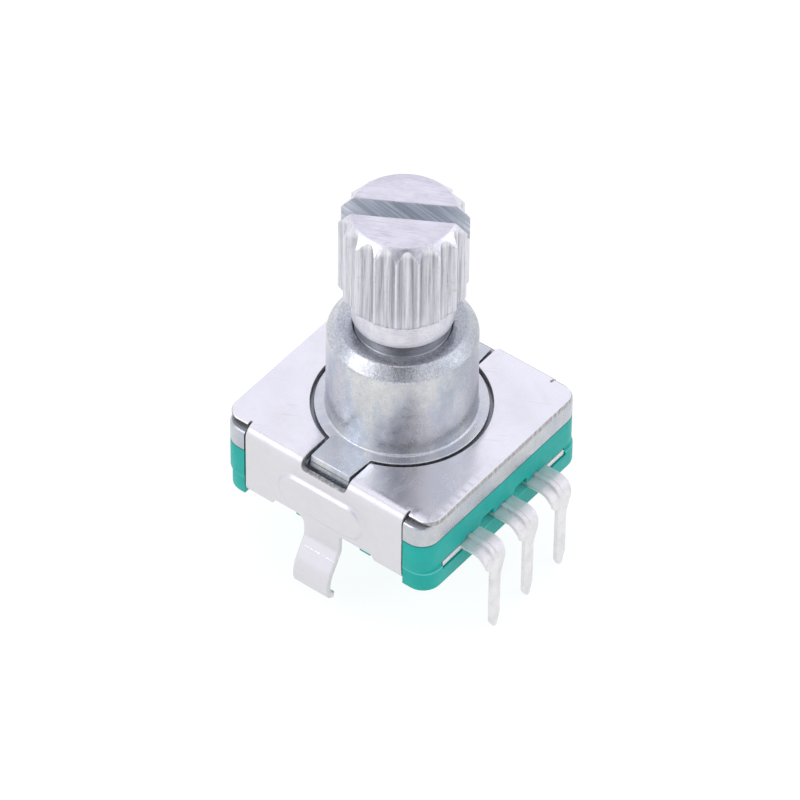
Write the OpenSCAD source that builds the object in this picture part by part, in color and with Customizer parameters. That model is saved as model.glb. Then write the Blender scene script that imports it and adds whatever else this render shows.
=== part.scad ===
// Rotary encoder, 11 mm class, with a slotted and serrated metal shaft.
// Millimetres. +Z runs up the shaft. The origin is on the shaft axis, at the
// face that rests on the circuit board. The three terminals leave towards -Y
// and the two snap-in legs hang on the -X and +X sides.

/* [Body] */
// Width of the body across the folded flaps
body_x = 11.7; // [11.6:0.05:12]
// Depth of the body, front to back
body_y = 11.86; // [11.6:0.02:11.9]
// Radius of the upright corners of the body
body_corner = 0.95; // [0.6:0.05:1.1]
// Height of the lower rim of the moulded base above the board
base_bottom = 0.2; // [0.1:0.05:0.3]
// Height of the joint between the base and the bushing flange
base_top = 3.03; // [2.95:0.01:3.1]
// Side of the square pad that rests on the board
seat_pad = 9.4; // [8.5:0.1:9.5]
// Height of the moulding's parting line
parting_z = 1.25; // [1.25:0.01:1.3]
// Radius of the hollow that holds the rotor
cavity_r = 4.9; // [4.8:0.05:5]

/* [Cover frame] */
// Thickness of the tin-plated sheet
sheet_t = 0.3; // [0.25:0.01:0.35]
// Height of the cover's top face above the board
cover_top = 4.5; // [4.45:0.01:4.6]
// Width of the cover plate in front of and behind the flaps
plate_x = 10.94; // [10.8:0.02:11]
// Depth of the cover plate
plate_y = 12; // [11.9:0.05:12.1]
// Width of each folded flap
flap_w = 9.1; // [8.8:0.05:9.2]
// Height of the flap's lower edge
flap_bottom = 0.84; // [0.8:0.01:0.95]
// Outer radius of the fold
fold_r = 0.6; // [0.5:0.05:0.65]
// Radius of the plate's round hole
plate_hole_r = 4.22; // [4.15:0.01:4.3]
// Width of the notches that lead from the hole over the folds
notch_w = 2.6; // [2.5:0.05:2.8]
// Width of each snap-in leg
leg_w = 2; // [1.8:0.05:2.2]
// Length of the stiffening rib pressed into each flap
rib_len = 5; // [4.5:0.1:5.2]

/* [Bushing] */
// Radius of the smooth bush
bush_r = 3.5; // [3.45:0.01:3.55]
// Height of the bush's end face above the board
bush_top = 9.7; // [9.5:0.05:10]
// Radius of the collar that fills the cover's hole
collar_r = 4.05; // [4:0.01:4.1]
// Radius of the shaft's bearing bore
bore_r = 2.3; // [2.28:0.01:2.34]

/* [Shaft] */
// Radius of the serrated head
head_r = 3; // [2.95:0.01:3.05]
// Height of the top of the shaft above the board
shaft_top = 16.6; // [16:0.1:18]
// Number of V-shaped grooves in the serrated head
groove_count = 18; // [18:1:18]
// Depth of each groove
groove_depth = 0.45; // [0.35:0.01:0.5]
// Radius of the smooth neck under the serrated head
neck_r = 2.37; // [2.35:0.01:2.45]
// Radius of the bearing journal
journal_r = 2.25; // [2.22:0.01:2.26]
// Width of the screwdriver slot
slot_w = 1; // [0.8:0.05:1.1]
// Depth of the screwdriver slot
slot_depth = 1.8; // [1:0.1:2.2]
// Direction of the slot, measured from +X
slot_angle = 121; // [0:1:180]

/* [Terminals] */
// Distance between terminals
pitch = 2.5; // [2.5:0.1:2.5]
// Distance from the shaft axis to the outer face of the pins
pin_reach = 7.5; // [7.4:0.05:7.6]
// Width of the terminal strip
strip_w = 1.5; // [1.3:0.05:1.5]
// Thickness of the terminal strip
strip_t = 0.22; // [0.2:0.01:0.25]
// Width of the solder pin
pin_w = 0.66; // [0.6:0.02:0.8]
// Length of the pins below the board's face
pin_drop = 3.5; // [3:0.1:4]

/* [Detent] */
// Number of detents in a turn
detents = 24; // [12:12:24]

/* [Hidden] */
$fn = 64;
eps = 0.01;

cover_under = cover_top - sheet_t;
flap_out = body_x / 2;
flap_in = flap_out - sheet_t;
fold_x = flap_out - fold_r;
fold_z = cover_top - fold_r;
flap_seat = flap_in - 0.02;
notch_z = 3.9;

leg_y = 0.1;
leg_knee_z = -0.3;
leg_lean = 27;
leg_slant = 1.75;
leg_curl = 60;
leg_curl_r = 0.28;
leg_end = 0.35;
claw_inner_y = 2.9;
claw_z = 0.66;
claw_reach = 0.75;
rib_w = 1.8;
rib_z = 2.35;
rib_proud = 0.12;

tab_w_root = 2.44;
tab_w_end = 2.06;
tab_x = 5.2;
tab_slope = 0.33;
bush_chamfer = 0.5;
bush_rim_z = bush_top - 0.6;
bush_fillet = 0.25;
lead_in = 0.3;
ceiling_z = 3.75;
stake_r = 0.3;
stake_pos = 4.05;

strip_top = 1.5;
strip_under = strip_top - strip_t;
bend_r = 0.8;
strip_rib_r = 0.2;
shoulder_z = 0.55;
taper_top = 0.85;
taper_bottom = -0.2;
tip_h = 0.45;
tip_w = 0.3;
frame_end_x = 4.65;
lead_t = 0.2;
pad_end_y = -2.7;
pad_w = 1.2;
outer_pad_x = 3.4;

wiper_t = 0.12;
wiper_w = 0.26;
wiper_gap = 0.1;
contact_r = 0.1;
disc_under = 2;
disc_t = 0.15;
disc_inner_r = 2;
disc_common_r = 2.75;
disc_outer_r = 4.35;
track_r = 3.45;
quarter_step = 360 / detents / 4;

rotor_under = disc_under + disc_t;
rotor_top = 3.25;
rotor_r = 4.6;
ramp_inner_r = 3.45;
valley_r = 0.45;
valley_depth = 0.2;
bump_r = 0.35;
bump_gap = 0.03;
spring_t = 0.15;
spring_inner_r = 3.45;
spring_outer_r = 4.65;

stem_r = 1.9;
stem_flat = 1.45;
stem_bottom = 1.75;
pilot_r = 0.9;
pilot_hole_r = 0.95;
pilot_bottom = 0.55;
ring_groove_r = 1.75;
ring_z = 3.34;
ring_t = 0.2;
ring_outer_r = 3.1;
washer_z = 3.57;
washer_t = 0.15;
undercut_r = 2;
undercut_z = 9.3;
neck_z = 10.25;
head_z = 11.45;
head_chamfer = 0.6;

module sides() {
    children();
    mirror([1, 0, 0]) children();
}

module ends() {
    children();
    mirror([0, 1, 0]) children();
}

// A rounded rectangle, w by d, centred on the axis.
module rounded_plate(w, d, r, h) {
    linear_extrude(h) {
        square([w - 2 * r, d], center = true);
        square([w, d - 2 * r], center = true);
        for (x = [-1, 1], y = [-1, 1])
            translate([x * (w / 2 - r), y * (d / 2 - r)]) circle(r);
    }
}

// A quarter or smaller arc of sheet, from angle a0 to a1, in the plane.
module sheet_arc(outer, t, a0, a1) {
    far = 2 * outer;
    mid = (a0 + a1) / 2;
    intersection() {
        difference() {
            circle(outer);
            circle(outer - t);
        }
        polygon([[0, 0], far * [cos(a0), sin(a0)], far * [cos(mid), sin(mid)],
                 far * [cos(a1), sin(a1)]]);
    }
}

// Turns a plane drawing so that its x runs along X and its y along Z,
// and gives it a width w centred on y = 0.
module across_y(w) {
    translate([0, w / 2, 0]) rotate([90, 0, 0]) linear_extrude(w) children();
}

// ---- Cover frame: one folded piece of tin-plated sheet ----

module keyhole() {
    translate([0, 0, cover_under - 1]) cylinder(r = plate_hole_r, h = 2);
    translate([-flap_out - 1, -notch_w / 2, notch_z])
        cube([2 * flap_out + 2, notch_w, 2]);
}

module flap() {
    translate([fold_x, 0, fold_z]) across_y(flap_w) sheet_arc(fold_r, sheet_t, 0, 90);
    translate([fold_x - 1, -flap_w / 2, cover_under]) cube([1, flap_w, sheet_t]);
    translate([flap_in, -flap_w / 2, flap_bottom])
        cube([sheet_t, flap_w, fold_z - flap_bottom]);
}

module flap_rib() {
    straight = rib_len / 2 - rib_w / 2;
    translate([flap_in + rib_proud, 0, rib_z]) rotate([0, 90, 0]) {
        translate([-rib_w / 2, -straight, 0]) cube([rib_w, 2 * straight, sheet_t]);
        for (y = [-straight, straight]) translate([0, y, 0]) cylinder(d = rib_w, h = sheet_t);
    }
}

// The two tongues at the flap's lower edge fold in under the base.
module claw() {
    translate([flap_out - claw_reach, claw_inner_y, claw_z])
        cube([claw_reach, flap_w / 2 - claw_inner_y, sheet_t]);
    translate([flap_in, claw_inner_y, claw_z])
        cube([sheet_t, flap_w / 2 - claw_inner_y, 0.5]);
}

// The leg leans outwards from its knee, and its end curls back in.
module leg() {
    slant_x = leg_slant * sin(leg_lean);
    slant_z = leg_slant * cos(leg_lean);
    translate([0, leg_y, 0]) across_y(leg_w) {
        translate([flap_in, leg_knee_z])
            square([sheet_t, flap_bottom - leg_knee_z + 0.3]);
        translate([flap_out, leg_knee_z]) sheet_arc(sheet_t, sheet_t, 180, 180 + leg_lean);
        translate([flap_out, leg_knee_z]) rotate(leg_lean)
            translate([-sheet_t, -leg_slant]) square([sheet_t, leg_slant]);
        translate([flap_out + slant_x, leg_knee_z - slant_z]) rotate(leg_lean)
            translate([-sheet_t - leg_curl_r, 0]) {
                sheet_arc(sheet_t + leg_curl_r, sheet_t, -leg_curl, 0);
                rotate(-leg_curl) translate([leg_curl_r, -leg_end])
                    square([sheet_t, leg_end]);
            }
    }
}

module cover_frame() {
    color("gainsboro") {
        difference() {
            union() {
                translate([0, 0, cover_under]) rounded_plate(plate_x, plate_y, 0.7, sheet_t);
                sides() flap();
            }
            keyhole();
        }
        sides() flap_rib();
        sides() leg();
        sides() ends() claw();
    }
}

// ---- Bushing: die-cast flange, collar, tabs and bush in one piece ----

// The body's outline, let in on both sides for the flaps.
module body_block(w, d, h) {
    difference() {
        rounded_plate(w, d, body_corner, h);
        sides() translate([flap_seat, -flap_w / 2 - 0.06, -1])
            cube([2, flap_w + 0.12, h + 2]);
    }
}

module bush_body() {
    rotate_extrude() difference() {
        union() {
            translate([0, cover_under - eps])
                square([collar_r, cover_top - cover_under + eps]);
            translate([0, cover_under]) square([bush_r, bush_rim_z - cover_under]);
            polygon([[0, bush_rim_z], [bush_r, bush_rim_z],
                     [bush_r - bush_chamfer, bush_top], [0, bush_top]]);
            translate([0, cover_top]) square([bush_r + bush_fillet, bush_fillet]);
        }
        translate([bush_r + bush_fillet, cover_top + bush_fillet]) circle(bush_fillet);
    }
}

module bush_tab() {
    intersection() {
        translate([0, 0, base_top]) linear_extrude(cover_top - base_top)
            polygon([[3, -tab_w_root / 2], [tab_x + tab_slope, -tab_w_end / 2],
                     [tab_x + tab_slope, tab_w_end / 2], [3, tab_w_root / 2]]);
        across_y(tab_w_root) polygon([[3, cover_under - 0.5], [flap_seat, cover_under - 0.5],
                                      [tab_x + tab_slope, cover_top - 0.6],
                                      [tab_x, cover_top], [3, cover_top]]);
    }
}

// Rounds the flange's upper edge to suit the inside of the cover's fold.
module fold_relief() {
    translate([fold_x, 0, fold_z]) across_y(flap_w + 0.12) difference() {
        square(1);
        circle(fold_r - sheet_t - 0.02);
    }
}

module bushing() {
    color("lightslategray") {
        difference() {
            union() {
                difference() {
                    translate([0, 0, base_top])
                        body_block(body_x, body_y, cover_under - base_top);
                    sides() fold_relief();
                }
                bush_body();
                sides() bush_tab();
            }
            translate([0, 0, base_top - 1]) cylinder(r = cavity_r, h = ceiling_z - base_top + 1);
            cylinder(r = bore_r, h = bush_top + 1);
            translate([0, 0, bush_top - lead_in])
                cylinder(r1 = bore_r, r2 = bore_r + lead_in + eps, h = lead_in + eps);
        }
        sides() translate([stake_pos, 0, ceiling_z - 0.3])
            cylinder(r = stake_r, h = 0.3 + eps);
    }
}

// ---- Base: moulded cup that holds the terminals ----

module base_claw_pocket() {
    translate([flap_out - claw_reach - 0.1, claw_inner_y - 0.05, -1])
        cube([2, flap_w / 2 - claw_inner_y + 0.11, claw_z + sheet_t + 1 + eps]);
}

module terminal_slot() {
    translate([-strip_w / 2, -body_y, strip_under])
        cube([strip_w, body_y - cavity_r + 1.5, strip_t]);
}

// The window that shows the end of the outer terminals' metal, and the slit
// that holds it.
module lead_window() {
    translate([pitch + strip_w / 2 - eps, -body_y / 2 - 1, parting_z - 0.17])
        cube([frame_end_x - pitch - strip_w / 2, 1.35, strip_top - parting_z + 0.17]);
    translate([pitch, -body_y / 2 - 1, strip_top - lead_t])
        cube([frame_end_x - pitch, 1.75, lead_t]);
}

// The place of an outer terminal's pad and its wiper's foot, open to the cavity.
module pad_slot() {
    translate([outer_pad_x - pad_w / 2, -4.2, strip_under])
        cube([pad_w, 4.2 + pad_end_y, strip_t + 0.3]);
}

module wall_pocket() {
    pocket_r = 0.33;
    translate([-pitch / 2, -body_y / 2 - 0.01, parting_z]) {
        translate([0, 0, 0.5]) rotate([-90, 0, 0]) cylinder(r = pocket_r, h = 0.25);
        translate([-pocket_r, 0, 0]) cube([2 * pocket_r, 0.25, 0.5]);
    }
}

module base() {
    lower_shift = 0.07;
    color("lightseagreen") difference() {
        union() {
            translate([0, 0, parting_z]) body_block(body_x, body_y, base_top - parting_z);
            translate([0, -lower_shift, base_bottom])
                body_block(body_x - 0.04, body_y, parting_z - base_bottom);
            rounded_plate(seat_pad, seat_pad, 1, 1);
        }
        translate([0, 0, strip_under]) cylinder(r = cavity_r, h = base_top);
        translate([0, 0, pilot_bottom - 0.1]) cylinder(r = pilot_hole_r, h = base_top);
        sides() ends() base_claw_pocket();
        for (i = [-1, 0, 1]) translate([i * pitch, 0, 0]) terminal_slot();
        sides() lead_window();
        sides() pad_slot();
        wall_pocket();
        translate([pitch, 0, 0]) wall_pocket();
    }
}

// ---- Terminals: flat strip, bend, shoulder and solder pin ----

module strip_bend() {
    flat_end = pin_reach - bend_r;
    rotate([0, 0, -90]) {
        translate([flat_end, 0, strip_top - bend_r]) across_y(strip_w)
            sheet_arc(bend_r, strip_t, 0, 90);
        translate([pin_reach - strip_t, -strip_w / 2, shoulder_z])
            cube([strip_t, strip_w, strip_top - bend_r - shoulder_z]);
    }
}

module solder_pin() {
    translate([0, -pin_reach + strip_t, 0]) rotate([90, 0, 0]) linear_extrude(strip_t)
        polygon([[-pin_w / 2, shoulder_z], [-strip_w / 2, shoulder_z],
                 [-strip_w / 2, taper_top - eps], [strip_w / 2, taper_top - eps],
                 [strip_w / 2 - 0.1, shoulder_z], [pin_w / 2, taper_bottom],
                 [pin_w / 2, tip_h - pin_drop], [tip_w / 2, -pin_drop],
                 [-tip_w / 2, -pin_drop], [-pin_w / 2, tip_h - pin_drop]]);
}

module terminal(inner_end) {
    flat_end = pin_reach - bend_r;
    translate([-strip_w / 2, -flat_end, strip_under])
        cube([strip_w, flat_end + inner_end, strip_t]);
    translate([-0.1, -body_y / 2 - 0.05, strip_top - strip_rib_r + 0.1]) rotate([90, 0, 0])
        cylinder(r = strip_rib_r, h = flat_end - body_y / 2);
    strip_bend();
    solder_pin();
}

// The metal of an outer terminal also runs out through the window in the wall
// and in to the pad under its wiper.
module outer_terminal() {
    translate([pitch, 0, 0]) terminal(-4);
    translate([pitch, 0.05 - body_y / 2, strip_top - lead_t])
        cube([frame_end_x - pitch - 0.05, 0.67, lead_t]);
    translate([outer_pad_x - pad_w / 2, -4.2, strip_under])
        cube([pad_w, 4.2 + pad_end_y, strip_t]);
}

module terminal_a() {
    color("whitesmoke") mirror([1, 0, 0]) outer_terminal();
}

module terminal_common() {
    color("whitesmoke") terminal(-3.9);
}

module terminal_b() {
    color("whitesmoke") outer_terminal();
}

// ---- Wipers: two-pronged contact springs that press on the code disc ----

// x, y is the middle of the foot, and reach the distance to the contact point.
module wiper(x, y, reach) {
    rise = disc_under - strip_top - wiper_t - contact_r;
    tilt = asin(rise / reach);
    translate([x, y, strip_top]) {
        translate([-pad_w / 2 + 0.1, -0.3, 0]) cube([pad_w - 0.2, 0.6, wiper_t]);
        for (side = [-1, 1])
            translate([side * (wiper_w + wiper_gap) / 2, 0.25, 0]) rotate([tilt, 0, 0]) {
                translate([-wiper_w / 2, 0, 0]) cube([wiper_w, reach, wiper_t]);
                translate([-wiper_w / 2, reach - contact_r, wiper_t - 0.02])
                    rotate([0, 90, 0]) cylinder(r = contact_r, h = wiper_w);
            }
    }
}

module wiper_a() {
    color("goldenrod") wiper(-outer_pad_x, pad_end_y - 0.4, 2.4);
}

module wiper_common() {
    color("goldenrod") wiper(0, -4.25, 1.6);
}

module wiper_b() {
    color("goldenrod") wiper(outer_pad_x, pad_end_y - 0.4, 2.4 + track_r * tan(quarter_step));
}

// ---- Detent spring: flat ring with two pressed bumps ----

module detent_bump() {
    bump_z = rotor_top - valley_depth + bump_gap + bump_r;
    translate([0, spring_outer_r, 0]) rotate([90, 0, 0])
        linear_extrude(spring_outer_r - spring_inner_r) {
            translate([0, bump_z]) sheet_arc(bump_r, spring_t, 180, 270);
            translate([0, bump_z]) sheet_arc(bump_r, spring_t, 270, 360);
            for (side = [-1, 1])
                translate([side * (bump_r - spring_t / 2) - spring_t / 2, bump_z])
                    square([spring_t, ceiling_z - bump_z]);
        }
}

module detent_spring() {
    color("silver") {
        difference() {
            translate([0, 0, ceiling_z - spring_t]) cylinder(r = spring_outer_r, h = spring_t);
            translate([0, 0, ceiling_z - 1]) cylinder(r = spring_inner_r, h = 2);
            sides() translate([stake_pos, 0, ceiling_z - 1])
                cylinder(r = stake_r + 0.02, h = 2);
            translate([-bump_r + spring_t, -cavity_r, ceiling_z - 1])
                cube([2 * (bump_r - spring_t), 2 * cavity_r, 2]);
        }
        intersection() {
            ends() detent_bump();
            cylinder(r = spring_outer_r, h = cover_top);
        }
    }
}

module slide_washer() {
    color("ivory") difference() {
        translate([0, 0, washer_z]) cylinder(r = ring_outer_r + 0.15, h = washer_t);
        cylinder(r = bore_r + 0.05, h = cover_top);
    }
}

// ---- Rotating parts ----

module shaft_profile() {
    polygon([[0, pilot_bottom], [pilot_r, pilot_bottom], [pilot_r, stem_bottom],
             [stem_r, stem_bottom], [stem_r, rotor_top], [journal_r, rotor_top],
             [journal_r, ring_z - 0.01], [ring_groove_r, ring_z - 0.01],
             [ring_groove_r, ring_z + ring_t + 0.01],
             [journal_r, ring_z + ring_t + 0.01], [journal_r, undercut_z],
             [undercut_r, undercut_z], [undercut_r, neck_z], [neck_r, neck_z],
             [neck_r, head_z], [head_r, head_z + head_r - neck_r],
             [head_r, shaft_top - head_chamfer], [head_r - head_chamfer, shaft_top],
             [0, shaft_top]]);
}

module head_grooves() {
    root = head_r - groove_depth;
    for (i = [0 : groove_count - 1])
        rotate(slot_angle + i * 360 / groove_count)
            translate([0, 0, head_z])
                linear_extrude(shaft_top)
                    polygon([[root, 0], [head_r + 0.3, -groove_depth - 0.3],
                             [head_r + 0.3, groove_depth + 0.3]]);
}

module stem_flats() {
    sides() translate([stem_flat, -3, stem_bottom - eps])
        cube([2, 6, rotor_top - stem_bottom + eps]);
}

module shaft() {
    color("lightgray") difference() {
        rotate_extrude() shaft_profile();
        head_grooves();
        rotate(slot_angle) translate([-5, -slot_w / 2, shaft_top - slot_depth])
            cube([10, slot_w, slot_depth + 1]);
        stem_flats();
    }
}

module retaining_ring() {
    color("darkgray") difference() {
        translate([0, 0, ring_z]) cylinder(r = ring_outer_r, h = ring_t);
        cylinder(r = ring_groove_r + 0.02, h = cover_top);
        translate([0, -ring_groove_r * 0.8, 0])
            cube([5, 2 * ring_groove_r * 0.8, cover_top]);
    }
}

module detent_rotor() {
    color("ivory") difference() {
        translate([0, 0, rotor_under]) cylinder(r = rotor_r, h = rotor_top - rotor_under);
        intersection() {
            cylinder(r = stem_r + 0.01, h = 5);
            translate([-stem_flat - 0.01, -3, 0]) cube([2 * stem_flat + 0.02, 6, 5]);
        }
        for (i = [0 : detents - 1])
            rotate(i * 360 / detents)
                translate([0, ramp_inner_r, rotor_top + valley_r - valley_depth])
                    rotate([-90, 0, 0]) cylinder(r = valley_r, h = 2);
    }
}

// A plain ring for the common wiper, with one finger for each pulse outside it.
module code_disc() {
    step = 360 / detents;
    reach = disc_outer_r * 1.5;
    color("gold") translate([0, 0, disc_under]) linear_extrude(disc_t) {
        difference() {
            circle(disc_common_r);
            circle(disc_inner_r);
        }
        for (i = [0 : detents - 1])
            intersection() {
                difference() {
                    circle(disc_outer_r);
                    circle(disc_common_r - eps);
                }
                rotate(i * step) polygon([[0, 0], reach * [cos(step / 4), -sin(step / 4)],
                                          reach * [cos(step / 4), sin(step / 4)]]);
            }
    }
}

cover_frame();
bushing();
base();
terminal_a();
terminal_common();
terminal_b();
wiper_a();
wiper_common();
wiper_b();
detent_spring();
slide_washer();
shaft();
retaining_ring();
detent_rotor();
code_disc();
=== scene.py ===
import math

import bmesh
import bpy
import numpy as np
from mathutils import Matrix, Vector, noise
from mathutils.geometry import delaunay_2d_cdt


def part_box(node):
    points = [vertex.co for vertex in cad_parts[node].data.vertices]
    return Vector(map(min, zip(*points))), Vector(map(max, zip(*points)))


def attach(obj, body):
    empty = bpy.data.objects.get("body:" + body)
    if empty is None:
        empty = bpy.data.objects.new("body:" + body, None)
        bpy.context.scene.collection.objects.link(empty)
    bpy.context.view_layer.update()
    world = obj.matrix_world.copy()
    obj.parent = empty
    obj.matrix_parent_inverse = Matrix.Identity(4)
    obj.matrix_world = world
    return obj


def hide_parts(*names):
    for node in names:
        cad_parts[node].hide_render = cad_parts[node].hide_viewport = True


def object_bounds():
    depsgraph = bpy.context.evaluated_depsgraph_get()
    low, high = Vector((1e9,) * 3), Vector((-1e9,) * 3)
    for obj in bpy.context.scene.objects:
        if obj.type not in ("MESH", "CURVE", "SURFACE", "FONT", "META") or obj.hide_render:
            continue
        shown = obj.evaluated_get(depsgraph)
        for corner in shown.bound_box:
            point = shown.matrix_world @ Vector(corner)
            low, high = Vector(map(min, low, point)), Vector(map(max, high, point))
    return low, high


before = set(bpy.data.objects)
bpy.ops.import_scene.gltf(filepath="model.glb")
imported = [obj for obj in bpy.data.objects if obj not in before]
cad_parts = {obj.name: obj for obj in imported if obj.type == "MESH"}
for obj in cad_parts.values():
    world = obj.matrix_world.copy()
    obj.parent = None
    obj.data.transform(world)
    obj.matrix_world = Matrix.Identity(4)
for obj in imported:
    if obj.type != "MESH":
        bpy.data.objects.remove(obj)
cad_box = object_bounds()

# Shapes are worked out in millimetres and turned into metres when a mesh is made.
MM = 0.001
# How far a cutter runs past the surface that it cuts.
PAST = 1.0

# ---- Sizes read from the frame ----


def box_mm(node):
    low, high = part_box(node)
    return np.array(low) / MM, np.array(high) / MM


cover_hi = box_mm("cover_frame")[1]
bush_lo, bush_hi = box_mm("bushing")
base_lo = box_mm("base")[0]
shaft_lo, shaft_hi = box_mm("shaft")
term_lo = box_mm("terminal_common")[0]
rotor_lo, rotor_hi = box_mm("detent_rotor")

plate_y = cover_hi[1]
cover_top = cover_hi[2]
body_x = bush_hi[0]
body_y = bush_hi[1]
flange_bottom = bush_lo[2]
bush_top = bush_hi[2]
rotor_top = rotor_hi[2]
shaft_top = shaft_hi[2]
shaft_bottom = shaft_lo[2]
pin_face = -term_lo[1]
pin_tip = term_lo[2]
strip_top = box_mm("wiper_common")[0][2]

SHEET = 0.3
STRIP = 0.22
FLAP_SEAT = body_x - 0.32
FLAP_W = 9.1
FLAP_BOTTOM = 0.88
fold_r = 0.6
flap_half = FLAP_W / 2 + 0.06

# ---- Mesh helpers ----


def apply_modifiers(obj):
    bpy.context.view_layer.update()
    graph = bpy.context.evaluated_depsgraph_get()
    mesh = bpy.data.meshes.new_from_object(obj.evaluated_get(graph))
    old = obj.data
    obj.modifiers.clear()
    obj.data = mesh
    bpy.data.meshes.remove(old)


def solid(name, verts, faces, groups=None):
    """An object from points in millimetres. groups gives each face's material index."""
    mesh = bpy.data.meshes.new(name)
    mesh.from_pydata((np.asarray(verts, float) * MM).tolist(), [], [list(f) for f in faces])
    if groups is not None:
        mesh.polygons.foreach_set("material_index", np.asarray(groups, np.int32))
    bm = bmesh.new()
    bm.from_mesh(mesh)
    bmesh.ops.remove_doubles(bm, verts=bm.verts, dist=1e-8)
    bmesh.ops.recalc_face_normals(bm, faces=bm.faces)
    bm.to_mesh(mesh)
    bm.free()
    obj = bpy.data.objects.new(name, mesh)
    bpy.context.scene.collection.objects.link(obj)
    return obj


def combine(target, others, operation):
    for other in others:
        mod = target.modifiers.new("combine", "BOOLEAN")
        mod.operation = operation
        mod.solver = "MANIFOLD"
        mod.object = other
        apply_modifiers(target)
        bpy.data.objects.remove(other)
    return target


def soften(obj, width, segments=2, angle=40):
    mod = obj.modifiers.new("soften", "BEVEL")
    mod.width = width * MM
    mod.segments = segments
    mod.limit_method = "ANGLE"
    mod.angle_limit = math.radians(angle)
    mod.use_clamp_overlap = True
    apply_modifiers(obj)
    return obj


def finish_piece(obj, node, body, materials, sharp=32):
    """Smooths the piece's shading, gives it its materials and ties it to the frame."""
    # Clearing the material list also clears the faces' indices, so they are put back.
    groups = np.zeros(len(obj.data.polygons), np.int32)
    obj.data.polygons.foreach_get("material_index", groups)
    obj.data.materials.clear()
    for mat in materials:
        obj.data.materials.append(mat)
    groups = np.minimum(groups, len(materials) - 1)
    obj.data.polygons.foreach_set("material_index", groups)
    obj.data.shade_smooth()
    obj.data.set_sharp_from_angle(angle=math.radians(sharp))
    mod = obj.modifiers.new("normals", "WEIGHTED_NORMAL")
    mod.keep_sharp = True
    mod.weight = 60
    apply_modifiers(obj)
    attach(obj, body)
    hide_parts(node)


def lathe(name, profile, segments=144):
    """A closed solid turned from (radius, height) points that start and end on the axis."""
    verts, rows = [], []
    for r, z in profile:
        if r < 1e-6:
            rows.append([len(verts)])
            verts.append((0, 0, z))
        else:
            rows.append(list(range(len(verts), len(verts) + segments)))
            for i in range(segments):
                a = 2 * math.pi * i / segments
                verts.append((r * math.cos(a), r * math.sin(a), z))
    return solid(name, verts, row_faces(rows, segments))


def row_faces(rows, segments):
    faces = []
    for low, high in zip(rows, rows[1:]):
        for i in range(segments):
            j = (i + 1) % segments
            if len(low) == 1:
                faces.append((low[0], high[i], high[j]))
            elif len(high) == 1:
                faces.append((low[i], low[j], high[0]))
            else:
                faces.append((low[i], low[j], high[j], high[i]))
    return faces


def round_corner(before, corner, after, radius, steps=6):
    """Points of a fillet in a (radius, height) or (x, y) polyline."""
    p, a, b = (np.array(q, float) for q in (corner, before, after))
    u, v = (a - p) / np.linalg.norm(a - p), (b - p) / np.linalg.norm(b - p)
    half = 0.5 * math.acos(float(np.clip(u @ v, -1, 1)))
    reach = radius / math.tan(half)
    middle = (u + v) / np.linalg.norm(u + v)
    centre = p + middle * radius / math.sin(half)
    start, end = p + u * reach - centre, p + v * reach - centre
    a0 = math.atan2(start[1], start[0])
    turn = math.atan2(start[0] * end[1] - start[1] * end[0], float(start @ end))
    points = []
    for k in range(steps + 1):
        t = a0 + turn * k / steps
        points.append(tuple(centre + radius * np.array([math.cos(t), math.sin(t)])))
    return points


def rounded_path(points):
    """Turns (x, y) and (x, y, radius) points into an open polyline with fillets."""
    path = []
    for i, q in enumerate(points):
        if len(q) == 3 and q[2] > 0:
            path += round_corner(points[i - 1][:2], q[:2], points[i + 1][:2], q[2])
        else:
            path.append(tuple(q[:2]))
    return path


def prism(name, outline, low, high, axis="z"):
    """A solid swept along one axis from a closed outline of the other two."""
    n = len(outline)
    verts = []
    for h in (low, high):
        for a, b in outline:
            verts.append({"z": (a, b, h), "y": (a, h, b), "x": (h, a, b)}[axis])
    faces = [tuple(range(n)), tuple(range(n, 2 * n))]
    faces += [(i, (i + 1) % n, n + (i + 1) % n, n + i) for i in range(n)]
    return solid(name, verts, faces)


def block(name, low, high):
    outline = [(low[0], low[1]), (high[0], low[1]), (high[0], high[1]), (low[0], high[1])]
    return prism(name, outline, low[2], high[2])


def side_block(name, side, near, far, low, high):
    """A block from near to far out on one side, between two (y, z) corners."""
    xs = sorted((side * near, side * far))
    return block(name, (xs[0], *low), (xs[1], *high))


def spin(obj, degrees):
    obj.data.transform(Matrix.Rotation(math.radians(degrees), 4, "Z"))
    return obj


# ---- Flat sheets with rounded edges, which can then be folded ----


EDGE_STEP = 0.12


def loop_of(corners, step=EDGE_STEP):
    """A closed outline from (x, y, radius) corners, as points and outward normals."""
    points = []
    n = len(corners)
    area = sum(corners[i - 1][0] * corners[i][1] - corners[i][0] * corners[i - 1][1]
               for i in range(n))
    outward = 1 if area > 0 else -1
    tangents = []
    for i, (x, y, r) in enumerate(corners):
        before, after = corners[i - 1][:2], corners[(i + 1) % n][:2]
        arc = round_corner(before, (x, y), after, max(r, 0.02), 8 if r > 0.25 else 5)
        d0 = np.array([x, y]) - np.array(before)
        d1 = np.array(after) - np.array([x, y])
        t0, t1 = math.atan2(d0[1], d0[0]), math.atan2(d1[1], d1[0])
        turn = (t1 - t0 + math.pi) % (2 * math.pi) - math.pi
        for k, p in enumerate(arc):
            points.append(p)
            tangents.append(t0 + turn * k / (len(arc) - 1))
    full, full_n = [], []
    m = len(points)
    for i in range(m):
        p, q = np.array(points[i]), np.array(points[(i + 1) % m])
        gap = np.linalg.norm(q - p)
        pieces = max(1, int(math.ceil(gap / step - 1e-6)))
        t0 = tangents[i]
        turn = (tangents[(i + 1) % m] - t0 + math.pi) % (2 * math.pi) - math.pi
        for k in range(pieces):
            t = t0 + turn * k / pieces
            full.append(p + (q - p) * k / pieces)
            full_n.append((outward * math.sin(t), -outward * math.cos(t)))
    return np.array(full), np.array(full_n)


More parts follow.
